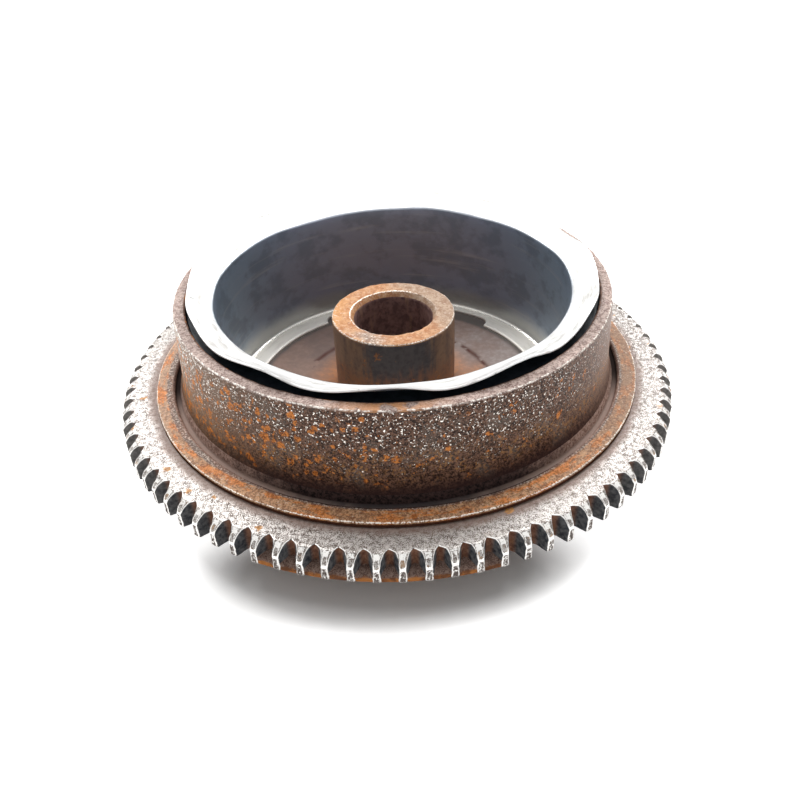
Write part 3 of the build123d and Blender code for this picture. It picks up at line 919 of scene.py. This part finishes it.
def gear_rings(r, tip, root, edge, packed, round_r, broken, out):
    """Radius, height and marks of rings of stations, up the teeth and back to the bore."""
    level = np.ones(len(r))
    radii, heights = [], []
    marks = {name: [] for name in ("worn", "side", "tip", "root", "packed", "bevel")}

    def add(radius, height, **values):
        radii.append(radius * level)
        heights.append(height * level)
        for name, rows in marks.items():
            rows.append(values.get(name, 0) * level)

    packed_r = r + np.maximum(TIP_R - TIP_CORNER - r, 0) * packed
    on_side = {"side": 1, "tip": tip, "root": root}
    add(REGISTER_R, RING_Z)
    add(ROOT_R - 1.2 * MM, RING_Z)
    add(packed_r - FOOT_BREAK, RING_Z, packed=packed, **on_side)
    foot_worn = 0.8 * np.maximum(edge, tip)
    add(packed_r, RING_Z + FOOT_BREAK, packed=packed, worn=foot_worn, **on_side)
    for rise, share in SCALE_SHELF:
        shelf_r = r + (packed_r - r) * share
        filled = packed * share ** 0.3
        add(shelf_r, RING_Z + rise * MM, packed=filled, worn=edge, **on_side)
    bottom_z = RING_Z + SCALE_TOP
    edge_z = gear_top_z(r) - round_r
    for t in (0, 0.25, 0.5, 0.75, 0.93):
        add(r, bottom_z + (edge_z - bottom_z) * t, worn=edge, **on_side)
    add(r, edge_z, worn=np.maximum(edge, 0.5), **on_side)
    arris = round_r * 0.3
    add(r - arris, gear_top_z(r) - arris, worn=1 - 0.5 * broken, side=0.3, tip=tip)
    inner_r = r - round_r
    add(inner_r, gear_top_z(inner_r), worn=0.9 - 0.5 * broken, bevel=0.5 * out)
    rest = np.minimum(inner_r, BEVEL_R)
    for t in (0.08, 0.18, 0.35, 0.55, 0.75, 0.9, 1.0):
        ring_r = inner_r + (rest - inner_r) * t
        crown = np.clip((t - 0.3) / 0.25, 0, 1) * (0.85 if t < 1 else 0.4) * out
        by_edge = np.maximum(0.6 * (1 - tip) * (1 - t), tip * (0.9 * edge if t < 0.8 else 0))
        worn = np.maximum(crown, by_edge)
        add(ring_r - 0.02 * t * MM, gear_top_z(ring_r), bevel=out * (t < 0.8), worn=worn)
    for t in (0.12, 0.3, 0.5, 0.7, 0.85, 1.0):
        ring_r = rest + (BASE_R + 1.0 * MM - rest) * t
        add(ring_r, LAND_Z - 0.12 * MM * (t == 1))
    add(BASE_R - 0.3 * MM, LAND_Z - 0.25 * MM)
    add(REGISTER_R, LAND_Z)
    marks = {name: np.array(rows) for name, rows in marks.items()}
    return np.array(radii), np.array(heights), marks


def worn_ring_gear():
    angle, r, tip, root, edge, bitten, tooth, middle = gear_outline().T
    r = r - tip * of_each_tooth(tooth, 0.0, TIP_LOSS)
    out = np.clip((r - FLANK_R) / (TIP_R - FLANK_R), 0, 1)
    packed = scaled_up(angle, middle) * (1 - tip)
    round_r = EDGE_ROUND + EDGE_ROUND_SPREAD * of_each_tooth(tooth, 0, 1)
    broken = np.clip((root - 0.7) / 0.3, 0, 1) * (angle > middle) + (root > 0.99)
    radius, height, marks = gear_rings(r, tip, root, edge, packed, round_r, broken, out)
    rise = np.clip((height - RING_Z) / (BEVEL_Z - RING_Z), 0, 1)
    on_tooth = radius > BEVEL_R
    narrower = (TOP_NARROWING * rise - FOOT_WIDENING) * out ** 2 * on_tooth
    turned = angle + (middle - angle) * narrower
    worn_in = np.clip(1 - (gear_top_z(r) - height) / BITE_DEPTH, 0, 1) ** 2
    turned = turned + bitten / TIP_R * worn_in * (radius > BASE_R + 3 * MM)
    points = swept(radius, height, turned)
    skin = lumps(points, 1.3, 8) * 0.07 * MM + lumps(points, 3.5, 9) * 0.05 * MM
    skin = skin - SKIN_LOSS
    chipped = lumps(points, 0.9, 10) * 0.19 * MM * out * on_tooth
    points[..., 0] += np.cos(turned) * skin - np.sin(turned) * chipped
    points[..., 1] += np.sin(turned) * skin + np.cos(turned) * chipped
    above_foot = slice(4, -1)
    points[above_foot, :, 2] += (skin[above_foot] + SKIN_LOSS) * 0.8
    gear = ring_piece("worn_ring_gear", points, np.zeros(len(points)), [gear_finish()], marks)
    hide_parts("ring_gear")


# The liner

FLANGE_WAVES = 11
FLANGE_PEAK = math.radians(-90.8)
FLANGE_LEAST = 1.3 * MM
FLANGE_MOST = 4.15 * MM
WAVE_RISE = math.radians(12.5)
WAVE_FALL = math.radians(9)
NOTCH_COUNT = 3
NOTCH_ANGLE = math.radians(83.6)
NOTCH_HALF = math.radians(38)
NOTCH_CORNER = 4.1 * MM
RIM_BEND_R = 0.9 * MM
FLOOR_BEND_R = 1.1 * MM
LINER_STEPS = 900


def lip_edge(angle):
    """Radius of the floor lip's inner edge, with wide round-cornered notches."""
    share = 2 * math.pi / NOTCH_COUNT
    from_middle = np.abs((angle - NOTCH_ANGLE + share / 2) % share - share / 2)
    inside = np.clip((NOTCH_HALF - from_middle) * LIP_R / NOTCH_CORNER, 0, 1)
    return LIP_R + NOTCH_CORNER * np.sqrt(1 - (1 - inside) ** 2)


def flange_lift(angle):
    """Height of the flange's edge above the rim: waves that rise slowly and fall off faster."""
    share = 2 * math.pi / FLANGE_WAVES
    from_peak = (angle - FLANGE_PEAK + share / 2) % share - share / 2
    width = np.where(from_peak < 0, WAVE_RISE, WAVE_FALL)
    wave = np.exp(-(from_peak / width) ** 2)
    wave = wave + np.exp(-((from_peak - share) / WAVE_RISE) ** 2)
    wave = wave + np.exp(-((from_peak + share) / WAVE_FALL) ** 2)
    front = 0.5 - 0.5 * np.sin(angle)
    height = 0.45 + 0.55 * np.clip(front * 1.6 - 0.1 + 0.2 * np.sin(3 * angle), 0, 1)
    lift = np.clip(wave * height + 0.35 * (1 - front), 0, 1)
    return FLANGE_LEAST + (FLANGE_MOST - FLANGE_LEAST) * lift


def bent_liner():
    angle = np.linspace(0, 2 * math.pi, LINER_STEPS, endpoint=False)
    level = np.ones(LINER_STEPS)
    quarter = math.pi / 2
    corner_z = RIM_Z - 0.15 * MM
    corner_z = corner_z + 0.25 * MM * np.sin(5 * angle + 1) + 0.15 * MM * np.sin(11 * angle)
    edge_r = FLANGE_R - 0.25 * MM * (0.5 + 0.5 * np.sin(4 * angle))
    edge_z = RIM_Z + flange_lift(angle)
    flange_r = LINER_BORE_R + RIM_BEND_R
    outer_r = LINER_BORE_R + LINER_WALL
    wall_top_z = corner_z - RIM_BEND_R
    wall_low_z = FLOOR_Z + LINER_WALL + FLOOR_BEND_R
    floor_r = LINER_BORE_R - FLOOR_BEND_R
    inner, outer = [], []

    for t in np.linspace(1, 0.08, 12):
        r = flange_r + (edge_r - flange_r) * t
        z = corner_z + (edge_z - corner_z) * (0.35 * t + 0.65 * t ** 2)
        inner.append((r, z, 1.0))
        outer.append((r + 0.12 * MM, z - LINER_WALL * 0.75, 0.6))
    for t in np.linspace(0, quarter, 6):
        r = flange_r - RIM_BEND_R * math.sin(t)
        z = wall_top_z + RIM_BEND_R * math.cos(t)
        inner.append((r, z, 1.0 - t / quarter))
        outer.append((outer_r, z - LINER_WALL, 0.0))
    for t in np.linspace(0, 1, 14)[1:]:
        z = wall_top_z + (wall_low_z - wall_top_z) * t
        inner.append((LINER_BORE_R, z, 0.0))
        outer.append((outer_r, z, 0.0))
    for t in np.linspace(0, quarter, 6)[1:]:
        r = floor_r + FLOOR_BEND_R * math.cos(t)
        z = wall_low_z - FLOOR_BEND_R * math.sin(t)
        inner.append((r, z, t / quarter))
        outer.append((r + LINER_WALL, max(z - LINER_WALL, FLOOR_Z), 0.0))
    for t in np.linspace(0, 1, 6)[1:]:
        r = floor_r + (lip_edge(angle) - floor_r) * t
        inner.append((r, FLOOR_Z + LINER_WALL, 1.0))
        outer.append((r, FLOOR_Z, 1.0))

    rows = inner + outer[::-1]
    radius, height, bright = (np.array([row[i] * level for row in rows]) for i in range(3))
    points = swept(radius, height, angle * np.ones((len(rows), 1)))
    points[..., 2] += lumps(points, 9, 12) * 0.15 * MM * (height > RIM_Z - 3 * MM)
    points[..., 2] = np.minimum(points[..., 2], FLANGE_TOP_Z)
    marks = {"bright": bright}
    liner = ring_piece("bent_liner", points, np.zeros(len(rows)), [liner_finish()], marks)
    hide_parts("magnet_liner")


# The resin over the magnets

RESIN_DEPTH = 1.5 * MM


def poured_resin():
    fine, coarse = 0.8, 4
    low_z = RESIN_TOP_Z - RESIN_DEPTH
    inner_r = LINER_BORE_R + LINER_WALL
    corners = [
        (inner_r, low_z, 0, coarse, 0, 0),
        (CUP_BORE_R, low_z, 0, coarse, 0, 0),
        (CUP_BORE_R, RESIN_TOP_Z, 0, fine, 0, 0),
        (inner_r, RESIN_TOP_Z, 0, coarse, 0, 0),
    ]

    def roughen(points, worn):
        high = points[..., 2] > RESIN_TOP_Z - 0.1 * MM
        return (lumps(points, 4, 14) - 0.5) * 0.35 * MM * high

    material = plain_grain("resin_black", (0.004, 0.006, 0.009), (0.012, 0.017, 0.023), 0.5)
    resin = turned_piece("poured_resin", corners, 480, [material], roughen)
    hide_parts("potting_ring")


def hidden_pieces():
    """The magnets and what holds them keep their solids, with a finish of their own."""
    ferrite = plain_grain("magnet_ferrite", (0.04, 0.04, 0.044), (0.09, 0.09, 0.095), 0.6)
    plastic = plain_grain("spacer_plastic", (0.03, 0.03, 0.03), (0.06, 0.06, 0.058), 0.5)
    for name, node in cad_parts.items():
        if name.startswith("magnet_") and name != "magnet_liner":
            holder = "spacer" in name or "seat" in name
            node.data.materials.clear()
            node.data.materials.append(plastic if holder else ferrite)


# Stage, light and camera

FLOOR_HALF = 3.0
FLOOR_GAP = 0.1 * MM

# An ellipse in front of the rotor where the floor keeps its shadow; outside it the floor glows,
# painted light over the shadow
SHADE_X = -5 * MM
SHADE_Y = 12 * MM - TIP_R
SHADE_HALF_WIDTH = 47 * MM
SHADE_HALF_DEPTH = 18.5 * MM

# The camera looks at the axis, level with the underside of the ring gear
VIEW_TURN = math.radians(0.36)
VIEW_RISE = math.radians(35.14)
VIEW_ROLL = math.radians(-2.65)
VIEW_DISTANCE = 264.3 * MM
VIEW_RIGHT = 0.92 * MM
VIEW_UP = -7.52 * MM
LENS = 36.0
SENSOR = 36.0


def white_for_view(tree):
    """A factor that is 1 for what the camera sees directly, in a mirror or through glass."""
    path = tree.nodes.new("ShaderNodeLightPath")
    total = path.outputs["Is Camera Ray"]
    for name in ("Is Glossy Ray", "Is Transmission Ray"):
        most = tree.nodes.new("ShaderNodeMath")
        most.operation = "MAXIMUM"
        tree.links.new(total, most.inputs[0])
        tree.links.new(path.outputs[name], most.inputs[1])
        total = most.outputs[0]
    return total


def add_floor():
    """A pale floor that keeps the rotor's shadow in an ellipse in front of it and glows white
    further out, a painted light over any shadow there.
    """
    mesh = bpy.data.meshes.new("floor")
    z = cad_box[0].z - FLOOR_GAP
    sides = ((-1, -1), (1, -1), (1, 1), (-1, 1))
    mesh.from_pydata([(x * FLOOR_HALF, y * FLOOR_HALF, z) for x, y in sides], [], [(0, 1, 2, 3)])
    floor = placed("floor", mesh)
    f = Finish("floor_white")
    f.base(f.noise(9, 3, 0.5, seed=41), (0.91, 0.90, 0.89), (0.95, 0.945, 0.94))
    material = f.done(0.8, gloss=0.1)
    shader = next(node for node in f.tree.nodes if node.type == "BSDF_PRINCIPLED")
    shader.inputs["Emission Color"].default_value = (1, 1, 1, 1)
    across = (f.x - SHADE_X) * (1 / SHADE_HALF_WIDTH)
    ahead = (f.y - SHADE_Y) * (1 / SHADE_HALF_DEPTH)
    away = f.ramp(f.math("SQRT", across * across + ahead * ahead), 0.75, 1.35)
    # The glow is painted light: outside the ellipse it whitens the rotor's shadow.
    glow = f.blend(away, 0.02, 0.9) * white_for_view(f.tree)
    f.feed(shader.inputs["Emission Strength"], glow)
    mesh.materials.append(material)


def add_world():
    world = bpy.data.worlds.new("studio")
    world.use_nodes = True
    bpy.context.scene.world = world
    tree = world.node_tree
    background = tree.nodes["Background"]
    background.inputs["Color"].default_value = (1, 1, 1, 1)
    level = tree.nodes.new("ShaderNodeMapRange")
    level.inputs["To Min"].default_value = 0.3
    tree.links.new(white_for_view(tree), level.inputs["Value"])
    tree.links.new(level.outputs[0], background.inputs["Strength"])


def add_lamp(name, place, size, power):
    """A round soft lamp that shines at the middle of the part."""
    lamp = bpy.data.lights.new(name, "AREA")
    lamp.shape = "DISK"
    lamp.size = size
    lamp.energy = power
    holder = placed(name, lamp)
    holder.location = place
    middle = Vector((0, 0, 20 * MM))
    holder.rotation_euler = (middle - Vector(place)).to_track_quat("-Z", "Y").to_euler()


def add_camera():
    turn = Matrix.Rotation(VIEW_TURN, 3, "Z")
    back = turn @ Vector((0, -math.cos(VIEW_RISE), math.sin(VIEW_RISE)))
    right = turn @ Vector((1, 0, 0))
    up = back.cross(right)
    target = Vector((0, 0, RING_Z))
    place = target + back * VIEW_DISTANCE
    toward = (target + right * VIEW_RIGHT + up * VIEW_UP - place).normalized()
    right = (right - toward * right.dot(toward)).normalized()
    up = right.cross(toward)
    across = math.cos(VIEW_ROLL) * right + math.sin(VIEW_ROLL) * up
    above = math.cos(VIEW_ROLL) * up - math.sin(VIEW_ROLL) * right
    camera = bpy.data.cameras.new("camera")
    camera.lens = LENS
    camera.sensor_width = SENSOR
    camera.clip_start = 0.01
    holder = placed("camera", camera)
    facing = Matrix((across, above, -toward)).transposed().to_4x4()
    holder.matrix_world = Matrix.Translation(place) @ facing
    bpy.context.scene.camera = holder


rusted_cup()
rusted_hub()
worn_ring_gear()
bent_liner()
poured_resin()
hidden_pieces()
add_floor()
add_world()
add_lamp("top_soft", (0.0, 0.2, 1.0), size=0.6, power=3.0)
add_lamp("back_left_soft", (-0.6, 0.7, 0.85), size=0.5, power=9.0)
add_lamp("back_right_soft", (0.6, 0.7, 0.85), size=0.5, power=9.0)
add_camera()
bpy.context.scene.view_settings.view_transform = "Standard"
